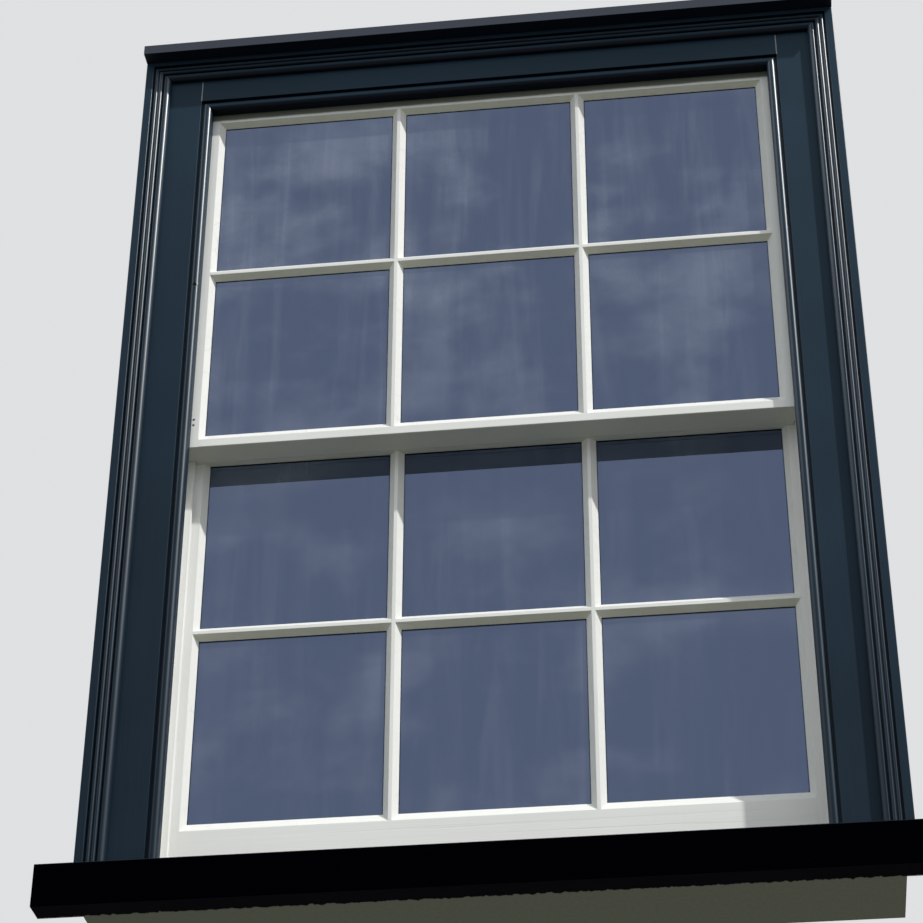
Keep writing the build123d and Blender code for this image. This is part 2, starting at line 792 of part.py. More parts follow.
with BuildPart() as lift_rail:
    add(lower_bottom_rail.part)
    with Locations(*[Location((x, face, z), (-90, 0, 0)) for x, z in lift_screws]):
        Hole(1.6, depth=14)

pieces = {
    "sill": sill.part,
    "pulley_stile_left": pulley_stile_left.part,
    "pulley_stile_right": pulley_stile_right.part,
    "pocket_pieces": pocket_pieces.part,
    "head_board": head_board_piece.part,
    "outer_lining_left": outer_lining_left.part,
    "outer_lining_right": outer_lining_right.part,
    "outer_lining_head": outer_lining_head.part,
    "inner_lining_left": inner_lining_left.part,
    "inner_lining_right": inner_lining_right.part,
    "inner_lining_head": inner_lining_head.part,
    "back_lining_left": back_lining_left.part,
    "back_lining_right": back_lining_right.part,
    "parting_slips": parting_slips.part,
    "architrave_left": architrave_left.part,
    "architrave_right": architrave_right.part,
    "architrave_head": architrave_head.part,
    "drip_cap": drip_cap.part,
    "parting_bead_left": parting_bead_left.part,
    "parting_bead_right": parting_bead_right.part,
    "parting_bead_head": parting_bead_head.part,
    "staff_bead_left": staff_bead_left.part,
    "staff_bead_right": staff_bead_right.part,
    "staff_bead_head": staff_bead_head.part,
    "staff_bead_sill": staff_bead_sill.part,
    "pulley_cases": pulley_cases.part,
    "frame_screws": frame_screws.part,
    "upper_top_rail": upper_top_rail.part,
    "upper_meeting_rail": keep_rail.part,
    "lower_meeting_rail": base_rail.part,
    "lower_bottom_rail": lift_rail.part,
    "fastener_base": fastener_base.part,
    "fastener_arm": fastener_arm.part,
    "fastener_knob": knob_piece,
    "fastener_keep": fastener_keep.part,
    "sash_lifts": sash_lifts.part,
    "keep_screws": keep_screws.part,
    "lower_screws": lower_screws.part,
}
for row in fronts:
    pieces[f"{row}_stile_left"], pieces[f"{row}_stile_right"] = stiles[row]
    pieces[f"{row}_bars"] = bars[row]
    pieces[f"{row}_cross_bars"] = cross_bars[row]
    pieces[f"{row}_panes"] = panes[row]
    pieces[f"{row}_putty"] = putties[row]
pieces.update(wheels)
pieces.update(weights)
pieces.update(cords)

os.makedirs("parts", exist_ok=True)
for label, piece in pieces.items():
    piece.label = label
    export_step(piece, f"parts/{label}.step")
print(len(pieces), "pieces")
for row in fronts:
    names = ("stile_left", "stile_right", "bars", "cross_bars", "putty", "meeting_rail")
    wood = sum(pieces[f"{row}_{name}"].volume for name in names)
    wood += pieces["upper_top_rail" if row == "upper" else "lower_bottom_rail"].volume
    print(row, "sash wood and putty", round(wood), "glass", round(pieces[f"{row}_panes"].volume))
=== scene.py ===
# Looks of a box sash window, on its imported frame. Metres: X right from the street, Y into the room, Z up.
import math

import bpy
import numpy as np
from mathutils import Matrix, Vector


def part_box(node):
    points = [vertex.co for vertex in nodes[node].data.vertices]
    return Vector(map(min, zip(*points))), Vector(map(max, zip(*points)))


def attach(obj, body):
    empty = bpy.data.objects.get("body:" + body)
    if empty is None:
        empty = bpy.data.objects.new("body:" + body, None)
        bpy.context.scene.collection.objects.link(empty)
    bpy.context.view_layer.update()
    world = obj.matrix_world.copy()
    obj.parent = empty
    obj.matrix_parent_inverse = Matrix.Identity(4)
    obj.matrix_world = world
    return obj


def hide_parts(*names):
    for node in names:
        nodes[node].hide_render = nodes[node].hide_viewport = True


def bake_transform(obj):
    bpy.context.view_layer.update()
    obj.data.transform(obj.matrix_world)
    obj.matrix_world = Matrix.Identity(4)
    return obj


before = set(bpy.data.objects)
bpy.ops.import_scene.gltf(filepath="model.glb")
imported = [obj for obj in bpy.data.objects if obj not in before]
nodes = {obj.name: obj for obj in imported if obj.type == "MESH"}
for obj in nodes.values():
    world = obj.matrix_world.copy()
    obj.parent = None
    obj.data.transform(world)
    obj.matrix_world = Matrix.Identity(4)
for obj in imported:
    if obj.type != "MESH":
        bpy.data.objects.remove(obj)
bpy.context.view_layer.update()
print("frame loaded:", len(nodes), "nodes")


def placed(name, data):
    # a new object in the scene
    made = bpy.data.objects.new(name, data)
    bpy.context.scene.collection.objects.link(made)
    return made


# camera, below the window and a little to its right, looking up
view = {
    "place": (0.3694, -3.2607, -1.4470),
    "pitch": 33.58,
    "turn": 7.23,
    "roll": 0.19,
    "lens": 101.67,
    "sensor": 36,
    "reach": 200,
}
cameraData = bpy.data.cameras.new("camera")
cameraData.lens = view["lens"]
cameraData.sensor_width = view["sensor"]
cameraData.clip_end = view["reach"]
camera = placed("camera", cameraData)
camera.matrix_world = (
    Matrix.Translation(view["place"])
    @ Matrix.Rotation(math.radians(view["turn"]), 4, "Z")
    @ Matrix.Rotation(math.radians(90 + view["pitch"]), 4, "X")
    @ Matrix.Rotation(math.radians(view["roll"]), 4, "Z")
)
bpy.context.scene.camera = camera
bpy.context.scene.view_settings.view_transform = "Standard"
print("camera set")


class Value:
    # a number that varies over a surface; arithmetic on it adds Math nodes
    def __init__(self, graph, socket):
        self.graph = graph
        self.socket = socket

    def maths(self, operation, *numbers):
        return self.graph.node("Math", {"operation": operation}, dict(enumerate(numbers)))

    def __add__(self, other):
        return self.maths("ADD", self, other)

    __radd__ = __add__

    def __sub__(self, other):
        return self.maths("SUBTRACT", self, other)

    def __rsub__(self, other):
        return self.maths("SUBTRACT", other, self)

    def __mul__(self, other):
        return self.maths("MULTIPLY", self, other)

    __rmul__ = __mul__

    def __pow__(self, other):
        return self.maths("POWER", self, other)

    def __neg__(self):
        return self.maths("MULTIPLY", self, -1)

    def __abs__(self):
        return self.maths("ABSOLUTE", self)

    def atMost(self, other):
        return self.maths("MINIMUM", self, other)

    def atLeast(self, other):
        return self.maths("MAXIMUM", self, other)


class Graph:
    # the nodes of a material or of the world
    def __init__(self, tree):
        self.tree = tree
        tree.nodes.clear()

    def node(self, kind, settings, sockets, output=0):
        # adds a node: its settings first, then numbers, colours or links on its sockets
        made = self.tree.nodes.new("ShaderNode" + kind)
        for name, value in settings.items():
            setattr(made, name, value)
        for name, value in sockets.items():
            if isinstance(value, Value):
                self.tree.links.new(value.socket, made.inputs[name])
            else:
                made.inputs[name].default_value = value
        return Value(self, made.outputs[output]) if len(made.outputs) else made

    def split(self, vector):
        # X, Y and Z of a vector
        parts = self.node("SeparateXYZ", {}, {0: vector}).socket.node.outputs
        return [Value(self, part) for part in parts]

    def step(self, value, low, high):
        # 0 below low, 1 above high, smooth between
        sockets = {"Value": value, "From Min": low, "From Max": high, "To Min": 0.0, "To Max": 1.0}
        return self.node("MapRange", {"interpolation_type": "SMOOTHSTEP"}, sockets)

    def blend(self, amount, first, second):
        # colour mix
        colours = [c if isinstance(c, Value) else (*c, 1) for c in (first, second)]
        sockets = {0: amount, 6: colours[0], 7: colours[1]}
        return self.node("Mix", {"data_type": "RGBA"}, sockets, 2)

    def looking(self):
        # 1 where a ray comes from the camera, straight, off gloss or through glass; 0 for other light
        rays = self.node("LightPath", {}, {}).socket.node.outputs
        straight = Value(self, rays["Is Camera Ray"])
        gloss = Value(self, rays["Is Glossy Ray"])
        through = Value(self, rays["Is Transmission Ray"])
        return straight.atLeast(gloss).atLeast(through)


class Finish(Graph):
    # a material being mixed
    def __init__(self, name):
        self.material = bpy.data.materials.new(name)
        self.material.use_nodes = True
        super().__init__(self.material.node_tree)
        self.place = self.node("TexCoord", {}, {}, "Object")

    def axes(self):
        return self.split(self.place)

    def facing(self):
        # X, Y and Z of the surface's own direction
        return self.split(self.node("NewGeometry", {}, {}, "Normal"))

    def rounded(self, radius):
        # the surface's direction with its arrises rounded
        return self.node("Bevel", {"samples": 4}, {"Radius": radius})

    def noise(self, scale, stretch=(1, 1, 1), detail=3.0, roughness=0.55, distortion=0.0):
        # stretch multiplies the scale on each axis; values from 0 to 1
        place = self.node("Mapping", {"vector_type": "POINT"}, {"Vector": self.place, "Scale": stretch})
        sockets = {"Vector": place, "Scale": scale, "Detail": detail}
        sockets.update({"Roughness": roughness, "Distortion": distortion})
        return self.node("TexNoise", {"noise_dimensions": "3D"}, sockets)

    def cracks(self, scale, width):
        # 1 on the borders of a net of cells, 0 inside them
        sockets = {"Vector": self.place, "Scale": scale, "Randomness": 1.0}
        border = self.node("TexVoronoi", {"feature": "DISTANCE_TO_EDGE"}, sockets)
        return 1 - self.step(border, 0.0, width)

    def near(self, spot):
        # 1 inside a ragged spot seen from the front, 0 outside; the spot is its x, z and radius
        x, _, z = self.axes()
        middleX, middleZ, radius = spot
        off = ((x - middleX) ** 2 + (z - middleZ) ** 2) ** 0.5
        return 1 - self.step(off + self.noise(500.0) * radius, radius * 1.1, radius * 1.5)

    def bump(self, height, distance, strength=0.8, over=None):
        # height in units of distance, over a given direction
        sockets = {"Height": height, "Distance": distance, "Strength": strength}
        if over:
            sockets["Normal"] = over
        return self.node("Bump", {}, sockets)

    def shade(self, **sockets):
        # closes the material with one Principled shader
        names = {
            "baseColor": "Base Color",
            "roughness": "Roughness",
            "metallic": "Metallic",
            "normal": "Normal",
            "alpha": "Alpha",
            "coat": "Coat Weight",
            "coatRoughness": "Coat Roughness",
            "coatIor": "Coat IOR",
            "specular": "Specular IOR Level",
            "sheen": "Sheen Weight",
            "ior": "IOR",
            "reflect": "Specular Tint",
        }
        shader = self.node("BsdfPrincipled", {}, {names[name]: value for name, value in sockets.items()})
        self.node("OutputMaterial", {}, {"Surface": shader})
        return self.material


# stretches that run brush strokes and grain along a piece
alongZ = (1, 1, 0.014)
alongX = (0.014, 1, 1)

darkLook = {
    "deep": (0.0020, 0.0050, 0.0105),
    "pale": (0.0225, 0.0500, 0.0800),
    "undersideShade": (0.0012, 0.0032, 0.0075),  # painted shade on undersides
    "dust": (0.20, 0.20, 0.19),
    "worn": (0.34, 0.36, 0.38),
    "bitten": (0.002, 0.002, 0.002),
    "roughness": 0.34,
    "specular": 0.10,
    "shine": 0.9,  # polish on the rounds
    "shineRoughness": 0.30,
    "shineIor": 1.9,
    "strokes": 520,
    "peel": 260,  # orange peel
    "relief": 0.00010,
    "arris": 0.0012,
}
capLook = dict(darkLook, deep=(0.036, 0.041, 0.060), pale=(0.056, 0.065, 0.088), roughness=0.45, shine=0.3)
darkMarks = {
    "joint": 0.47825,  # x of the joint of head lining and side lining
    "jointLow": 1.4602,
    "jointHigh": 1.5035,
    "jointHalf": 0.0012,
    "jointEnd": 0.002,
    "waver": 0.0010,
    "nick": (-0.4665, 1.076, 0.0042),  # x, z, radius
    "splinter": (-0.4625, 1.0778, 0.0013),
}


def jointRidge(f, x, z):
    # thin, wavering ridge of paint up the joint of head lining and side lining
    marks = darkMarks
    off = abs(x) + f.noise(40.0) * marks["waver"] - marks["joint"]
    ridge = 1 - f.step(abs(off), marks["jointHalf"] * 0.35, marks["jointHalf"])
    above = f.step(z, marks["jointLow"], marks["jointLow"] + marks["jointEnd"])
    below = f.step(-z, -marks["jointHigh"], -marks["jointHigh"] + marks["jointEnd"])
    return ridge * above * below


def darkPaint(name, along, look):
    # brushed gloss: fine strokes along the piece, paler towards the top and the right as a painted sky
    # reflection, undersides darkened as painted shade, dust on what faces up, polish on the rounds, and a
    # bite with a pale splinter
    f = Finish(name)
    x, _, z = f.axes()
    soft = f.rounded(look["arris"])
    across, ahead, up = f.split(soft)
    ridge = jointRidge(f, x, z) * f.step(-ahead, 0.4, 0.8)
    worn = ridge * 0.85 + f.near(darkMarks["splinter"])
    bite = f.near(darkMarks["nick"])
    strokes = f.noise(look["strokes"], along, 4.0, 0.6)
    slow = f.noise(5.0, detail=2.0)
    peel = f.noise(look["peel"], detail=2.0)
    rounds = f.step(abs(across * ahead), 0.10, 0.38)
    dust = f.step(up, 0.6, 0.95) * f.step(f.noise(90.0, detail=5.0), 0.35, 0.75)
    polish = 0.20 + f.step(z, -0.2, 1.6) * 0.80
    # paler towards the top and the right: painted sky reflection on the gloss
    paintedSkyReflection = f.step(z + x * 0.45, -0.5, 1.7)
    colour = f.blend(slow * 0.30 + strokes * 0.20 + paintedSkyReflection * 0.50, look["deep"], look["pale"])
    # undersides darkened: painted shade
    colour = f.blend(f.step(-up, 0.15, 0.65), colour, look["undersideShade"])
    colour = f.blend(dust * 0.35, colour, look["dust"])
    colour = f.blend(bite, colour, look["bitten"])
    colour = f.blend(worn.atMost(1.0), colour, look["worn"])
    height = strokes * 0.8 + peel * 0.2 + ridge * 4 - bite * 12
    return f.shade(
        baseColor=colour,
        roughness=look["roughness"] + slow * 0.08 + strokes * 0.08 + dust * 0.3,
        specular=look["specular"],
        coat=rounds * (1 - bite) * look["shine"] * polish,
        coatRoughness=look["shineRoughness"],
        coatIor=look["shineIor"],
        normal=f.bump(height, look["relief"], over=soft),
    )


sillLook = {
    "deep": (0.0001, 0.0002, 0.0006),
    "pale": (0.0003, 0.0004, 0.0016),
    "dust": darkLook["dust"],
    "worn": (0.030, 0.036, 0.046),  # painted highlight along the top front arris
    "bare": (0.42, 0.43, 0.36),
    "bareDark": (0.28, 0.29, 0.23),
    "paintedTo": -0.0499,  # y on the underside
    "ragged": 0.024,
    "bristles": 90,
    "thinEdge": 0.0012,
    "roughness": 0.45,
    "specular": 0.003,
    "strokes": 520,
    "relief": 0.00016,
    "arris": 0.0016,
}


def sillPaint():
    # black gloss, laid on with a brush that stopped raggedly on the underside
    look = sillLook
    f = Finish("sill_black_gloss")
    y = f.axes()[1]
    strokes = f.noise(look["strokes"], alongX, 4.0, 0.6)
    slow = f.noise(6.0)
    soft = f.rounded(look["arris"])
    _, ahead, up = f.split(soft)
    # paler line on the top front arris of the nearly mirrorless black: painted highlight
    arris = f.step(up * -ahead, 0.15, 0.45)
    bristles = f.noise(look["bristles"], (1, 0.25, 1), 5.0, 0.7) - 0.5
    past = y - look["paintedTo"] - bristles * look["ragged"]
    bare = f.step(-up, 0.7, 0.9) * f.step(past, 0.0, look["thinEdge"])
    patches = f.step(f.noise(24.0, detail=6.0, roughness=0.65), 0.30, 0.85)
    dust = f.step(up, 0.6, 0.95) * (0.35 + patches * 0.65)
    stone = f.blend(f.noise(160.0, detail=6.0, roughness=0.7), look["bare"], look["bareDark"])
    colour = f.blend(slow * 0.6 + strokes * 0.4, look["deep"], look["pale"])
    colour = f.blend(dust * 0.14, colour, look["dust"])
    colour = f.blend(bare, colour, stone)
    colour = f.blend(arris * 0.5, colour, look["worn"])
    height = strokes * 0.5 + slow * 0.2 - bare * 3.0
    return f.shade(
        baseColor=colour,
        roughness=look["roughness"] + slow * 0.10 + bare * 0.45 + dust * 0.3,
        specular=look["specular"],
        normal=f.bump(height, look["relief"], over=soft),
    )


whiteLook = {
    "paint": (0.87, 0.87, 0.845),
    "worn": (0.79, 0.79, 0.75),
    "grime": (0.33, 0.33, 0.28),
    "soil": (0.66, 0.655, 0.53),  # painted shade on undersides, olive, in patches
    # dark olive band on the street side under the head: painted shade
    "shadeUnderHead": (0.115, 0.125, 0.095),
    "shadeUnderHeadFrom": 1.4315,  # z
    "shadeUnderHeadFade": 0.0045,
    "shadeUnderHeadWaver": 0.003,
    "front": -0.018,  # y, the upper sash's street side is ahead of it
    "frontFade": 0.002,
    "hole": (0.012, 0.012, 0.010),
    "nailHoles": [(-0.4574, 0.8281, 0.0024), (-0.4573, 0.8182, 0.0024), (0.4438, 0.8650, 0.0018)],
    "roughness": 0.30,
    "specular": 0.45,
    "shine": 0.15,
    "shineRoughness": 0.14,
    "strokes": 420,
    "fibres": 95,
    "specks": 330,
    "relief": 0.00022,
    "arris": 0.0009,
}


def shadeBelow(f, colour, patches):
    # painted shade on undersides, olive, in patches
    paintedUnderShade = f.step(-f.facing()[2], 0.25, 0.80) * (0.65 + patches * 0.5)
    return f.blend(paintedUnderShade, colour, whiteLook["soil"])


def whitePaint(name, along, grain=0.5, holes=()):
    # white gloss over softwood: grain shows through in long lines, specks, yellowing, painted shade
    # underneath, nail holes, and a dark olive band of painted shade on the street side of the sash where it
    # runs up under the head
    f = Finish(name)
    look = whiteLook
    _, y, z = f.axes()
    front = f.step(-y, -look["front"], look["frontFade"] - look["front"])
    height = z + f.noise(30.0) * look["shadeUnderHeadWaver"]
    shadeUnderHead = front * f.step(height, look["shadeUnderHeadFrom"], look["shadeUnderHeadFrom"] + look["shadeUnderHeadFade"])
    strokes = f.noise(look["strokes"], along, 4.0, 0.6)
    fibres = f.noise(look["fibres"], along, 5.0, 0.65, 0.6)
    slow = f.noise(4.0)
    specks = f.step(f.noise(look["specks"], detail=2.0, roughness=0.4), 0.80, 0.84)
    lines = f.step(fibres, 0.42, 0.36)
    colour = f.blend(f.step(slow, 0.35, 0.75) * 0.6, look["paint"], look["worn"])
    colour = f.blend(lines * 0.10 * grain + specks * 0.55, colour, look["grime"])
    # undersides darkened: painted shade
    colour = shadeBelow(f, colour, slow)
    # band under the head: painted shade
    colour = f.blend(shadeUnderHead * 0.95, colour, look["shadeUnderHead"])
    for hole in holes:
        colour = f.blend(front * f.near(hole), colour, look["hole"])
    relief = strokes * 0.45 + fibres * grain - lines * 0.35 * grain
    return f.shade(
        baseColor=colour,
        roughness=look["roughness"] + slow * 0.14 + strokes * 0.08,
        specular=look["specular"],
        coat=look["shine"],
        coatRoughness=look["shineRoughness"],
        normal=f.bump(relief, look["relief"], over=f.rounded(look["arris"])),
    )


puttyLook = {
    "paint": (0.82, 0.82, 0.785),
    "worn": (0.74, 0.735, 0.69),
    "roughness": 0.36,
    "specular": 0.4,
    "shine": 0.1,
    "shineRoughness": 0.2,
    "knife": 60,
    "fine": 600,
    "cracks": 26,
    "crackWidth": 0.006,
    "relief": 0.00035,
}


def puttyPaint():
    # painted putty: knife marks across a smooth slope, hairline cracks, painted shade underneath
    look = puttyLook
    f = Finish("painted_putty")
    knife = f.noise(look["knife"], detail=4.0, roughness=0.5, distortion=0.4)
    fine = f.noise(look["fine"])
    crack = f.cracks(look["cracks"], look["crackWidth"]) * f.step(f.noise(9.0), 0.50, 0.62)
    colour = f.blend(f.step(knife, 0.4, 0.8) * 0.4, look["paint"], look["worn"])
    # undersides darkened: painted shade
    colour = shadeBelow(f, colour, knife)
    colour = f.blend(crack * 0.5, colour, whiteLook["grime"])
    return f.shade(
        baseColor=colour,
        roughness=look["roughness"] + knife * 0.16,
        specular=look["specular"],
        coat=look["shine"],
        coatRoughness=look["shineRoughness"],
        normal=f.bump(knife + fine * 0.12 - crack, look["relief"]),
    )


glassLook = {
    # near-black body, nearly opaque: painted darkness of the room behind the glass
    "paintedRoomDark": (0.002, 0.004, 0.010),
    "haze": (0.150, 0.158, 0.172),
    "edge": (0.010, 0.014, 0.020),
    "alpha": 0.955,
    # reflections tinted sky blue and strengthened: painted sky reflection
    "reflect": (0.47, 0.615, 1.0, 1),
    "ior": 2.8,
    "roughness": 0.015,
    "waves": 7.0,
    "streaks": 26.0,
    "clouds": 4.2,
    "relief": 0.0006,
    "tops": (0.4662, 0.7770, 1.1002, 1.4204),  # z of the panes' upper edges
    "sides": (0.13625, 0.15825, 0.43975),  # x of the panes' upright edges, either way
    "topLine": (0.0018, 0.0034),  # half widths of the painted shade line, where full and where gone
    "sideLine": (0.0009, 0.0019),
}


def paneGlass():
    # old drawn glass: slow waves, a film of dust that the rain has run down in soft streaks, thicker on the
    # upper sash where it also paints a brighter sky reflection, and a dark line of painted shade where the
    # pane goes in behind the putty;
    # under it a near-black, nearly opaque body paints the dark room behind, and the reflections are tinted
    # sky blue
    look = glassLook
    f = Finish("pane_glass")
    x, _, z = f.axes()
    waves = f.noise(look["waves"], (1, 1, 0.35), 2.0, 0.4)
    streaks = f.noise(look["streaks"], (1, 1, 0.09), 4.0, 0.6, 0.5)
    clouds = f.noise(look["clouds"], (1, 1, 1.3), 4.0)
    film = f.step(clouds, 0.44, 0.68) * 0.6 + f.step(streaks, 0.42, 0.78) * 0.3
    # film thicker on the upper sash: partly dust, partly the upper panes' brighter sky reflection painted
    # in
    thick = 0.65 + f.step(z, 0.6, 1.3) * 0.65
    # dark line along the pane edges, stronger under the top edges: painted shade of the gap under the putty
    paintedShadeLine = 0
    for top in look["tops"]:
        paintedShadeLine = paintedShadeLine + 1 - f.step(abs(z - top), *look["topLine"])
    for side in look["sides"]:
        paintedShadeLine = paintedShadeLine + 0.75 - 0.75 * f.step(abs(abs(x) - side), *look["sideLine"])
    paintedShadeLine = paintedShadeLine.atMost(1.0)
    pane = f.blend(film * thick, look["paintedRoomDark"], look["haze"])
    return f.shade(
        baseColor=f.blend(paintedShadeLine, pane, look["edge"]),
        metallic=paintedShadeLine,
        roughness=look["roughness"] + film * 0.03 + paintedShadeLine * 0.3,
        ior=look["ior"],
        reflect=look["reflect"],
        alpha=look["alpha"] + film * 0.02,
        normal=f.bump(waves, look["relief"], 0.5),
    )


woodLook = {
    "early": (0.40, 0.27, 0.15),
    "late": (0.28, 0.17, 0.085),
    "fibre": (0.50, 0.36, 0.21),
    "dust": (0.24, 0.21, 0.17),
    "roughness": 0.72,
    "specular": 0.3,
    "rings": 36,
    "wander": 9,
    "fibres": 700,
    "saw": 240,
    "relief": 0.0004,
    "arris": 0.0006,
}


def bareWood(name, along):
    # sawn softwood gone brown: growth lines, saw marks across, dust
    look = woodLook
    f = Finish(name)
    grain = f.node("Mapping", {"vector_type": "POINT"}, {"Vector": f.place, "Scale": along})
    sockets = {"Vector": grain, "Scale": look["rings"], "Distortion": look["wander"]}
    sockets.update({"Detail": 3.0, "Detail Scale": 1.6})
    rings = f.node("TexWave", {"wave_type": "BANDS", "bands_direction": "DIAGONAL"}, sockets, "Fac")
    fibres = f.noise(look["fibres"], along, 4.0, 0.6)
    dust = f.noise(14.0, detail=5.0)
    saw = f.noise(look["saw"], (0.1, 0.1, 1), 1.0)
    colour = f.blend(rings * 0.7 + fibres * 0.3, look["early"], look["late"])
    colour = f.blend(fibres * 0.35, colour, look["fibre"])
    colour = f.blend(f.step(dust, 0.4, 0.8) * 0.45, colour, look["dust"])
    height = fibres * 0.6 + saw * 0.5 + rings * 0.2
    return f.shade(
        baseColor=colour,
        roughness=look["roughness"] + fibres * 0.15,
        specular=look["specular"],
        normal=f.bump(height, look["relief"], 0.7, f.rounded(look["arris"])),
    )


metalLook = {"film": 75, "scratches": 900, "spots": 420, "relief": 0.00012, "arris": 0.0004}
metals = {
    "aged_brass": {
        "bright": (0.66, 0.47, 0.19),
        "dull": (0.34, 0.235, 0.10),
        "dark": (0.08, 0.055, 0.03),
        "roughness": 0.26,
    },
    "turned_brass": {
        "bright": (0.72, 0.53, 0.24),
        "dull": (0.30, 0.21, 0.10),
        "dark": (0.06, 0.045, 0.03),
        "roughness": 0.22,
    },
    "screw_brass": {
        "bright": (0.62, 0.45, 0.20),
        "dull": (0.36, 0.26, 0.12),
        "dark": (0.10, 0.07, 0.04),
        "roughness": 0.30,
    },
}


def oldMetal(name):
    # handled metal: bright where rubbed, dull film and dark spots elsewhere
    look, metal = metalLook, metals[name]
    f = Finish(name)
    film = f.noise(look["film"], detail=5.0, roughness=0.6)
    scratches = f.noise(look["scratches"], (1, 0.1, 1), 2.0)
    spots = f.step(f.noise(look["spots"]), 0.62, 0.70)
    colour = f.blend(f.step(film, 0.35, 0.70), metal["bright"], metal["dull"])
    colour = f.blend(spots * 0.55, colour, metal["dark"])
    height = scratches * 0.25 - spots * 0.2 + film * 0.2
    return f.shade(
        baseColor=colour,
        metallic=1.0,
        roughness=metal["roughness"] + f.step(film, 0.3, 0.75) * 0.22 + spots * 0.2,
        normal=f.bump(height, look["relief"], 0.7, f.rounded(look["arris"])),
    )


ironLook = {
    "rust": (0.26, 0.105, 0.04),
    "deepRust": (0.13, 0.05, 0.022),
    "wash": (0.045, 0.042, 0.040),
    "grit": 480,
    "patches": 34,
    "relief": 0.0008,
}


def castIron():
    # rough casting, rusted over what is left of a dark wash
    look = ironLook
    f = Finish("rusty_cast_iron")
    grit = f.noise(look["grit"], detail=5.0, roughness=0.7)
    patches = f.noise(look["patches"], detail=5.0, roughness=0.65)
    rust = f.step(patches, 0.40, 0.62)
    colour = f.blend(1 - rust, f.blend(grit, look["rust"], look["deepRust"]), look["wash"])
    return f.shade(
        baseColor=colour,
        metallic=0.35 - rust * 0.35,
        roughness=0.62 + rust * 0.25,
        normal=f.bump(grit + patches * 0.8, look["relief"]),
    )


cottonLook = {
    "clean": (0.66, 0.60, 0.47),
    "shadeBelow": (0.42, 0.38, 0.30),
    "fluff": (0.76, 0.72, 0.60),
    "roughness": 0.85,
    "sheen": 0.25,
    "fibres": 2600,
    "soil": 22,
    "relief": 0.0002,
}


def cottonCord():
    # waxed cotton, greyed where it runs
    look = cottonLook
    f = Finish("cotton_cord")
    fibres = f.noise(look["fibres"], (1, 1, 0.3))
    soil = f.noise(look["soil"], detail=4.0)
    colour = f.blend(f.step(soil, 0.35, 0.75), look["clean"], look["shadeBelow"])
    colour = f.blend(fibres * 0.4, colour, look["fluff"])
    return f.shade(
        baseColor=colour,
        roughness=look["roughness"],
        sheen=look["sheen"],
        normal=f.bump(fibres, look["relief"]),
    )


glazeLook = {
    "cream": (0.80, 0.76, 0.64),
    "pooled": (0.72, 0.67, 0.54),
    "crazed": (0.40, 0.33, 0.22),
    "roughness": 0.10,
    "shine": 0.6,
    "shineRoughness": 0.05,
    "pools": 70,
    "crazing": 330,
    "crazeWidth": 0.035,
    "relief": 0.00012,
}


def creamKnob():
    # glazed ware: even cream glaze with a faint craze
    look = glazeLook
    f = Finish("cream_glaze")
    craze = f.cracks(look["crazing"], look["crazeWidth"])
    pool = f.noise(look["pools"])
    colour = f.blend(craze * 0.25, f.blend(pool, look["cream"], look["pooled"]), look["crazed"])
    return f.shade(
        baseColor=colour,
        roughness=look["roughness"] + pool * 0.06,
        coat=look["shine"],
        coatRoughness=look["shineRoughness"],
        normal=f.bump(pool - craze * 0.3, look["relief"], 0.6),
    )


finishes = {
    "darkUp": darkPaint("dark_gloss_upright", alongZ, darkLook),
    "darkAcross": darkPaint("dark_gloss_across", alongX, darkLook),
    "cap": darkPaint("cap_weathered_gloss", alongX, capLook),
    "sill": sillPaint(),
    "whiteUp": whitePaint("white_gloss_upright", alongZ, holes=whiteLook["nailHoles"]),
    "whiteAcross": whitePaint("white_gloss_across", alongX),
    "whiteGrainy": whitePaint("white_gloss_grainy", alongX, 1.0),
    "putty": puttyPaint(),
    "glass": paneGlass(),
    "woodUp": bareWood("bare_wood_upright", alongZ),
    "woodAcross": bareWood("bare_wood_across", alongX),
    "brass": oldMetal("aged_brass"),
    "wheel": oldMetal("turned_brass"),
    "screw": oldMetal("screw_brass"),
    "iron": castIron(),
    "cord": cottonCord(),
    "knob": creamKnob(),
}

# which finish each node of the frame takes
wears = {
    "darkUp": ["outer_lining_left", "outer_lining_right", "architrave_left", "architrave_right"],
    "darkAcross": ["outer_lining_head", "architrave_head"],
    "cap": ["drip_cap"],
    "sill": ["sill"],
    "whiteUp": [
        "parting_bead_left", "parting_bead_right", "staff_bead_left", "staff_bead_right",
        "inner_lining_left", "inner_lining_right", "pulley_stile_left", "pulley_stile_right",
        "pocket_pieces", "upper_stile_left", "upper_stile_right", "upper_bars",
        "lower_stile_left", "lower_stile_right", "lower_bars",
    ],
    "whiteAcross": [
        "parting_bead_head", "staff_bead_head", "staff_bead_sill", "inner_lining_head",
        "upper_top_rail", "upper_meeting_rail", "upper_cross_bars", "lower_meeting_rail",
        "lower_cross_bars",
    ],
    "whiteGrainy": ["lower_bottom_rail"],
    "putty": ["upper_putty", "lower_putty"],
    "glass": ["upper_panes", "lower_panes"],
    "woodUp": ["back_lining_left", "back_lining_right", "parting_slips"],
    "woodAcross": ["head_board"],
    "brass": ["pulley_cases", "fastener_base", "fastener_arm", "fastener_keep", "sash_lifts"],
    "wheel": ["upper_left_wheel", "upper_right_wheel", "lower_left_wheel", "lower_right_wheel"],
    "screw": ["frame_screws", "keep_screws", "lower_screws"],
    "iron": ["upper_left_weight", "upper_right_weight", "lower_left_weight", "lower_right_weight"],
    "cord": ["upper_cords", "lower_cords"],
    "knob": ["fastener_knob"],
}
for finish, names in wears.items():
    for name in names:
        slots = nodes[name].data.materials
        slots.clear()
        slots.append(finishes[finish])
print("finishes on", sum(len(names) for names in wears.values()), "nodes")


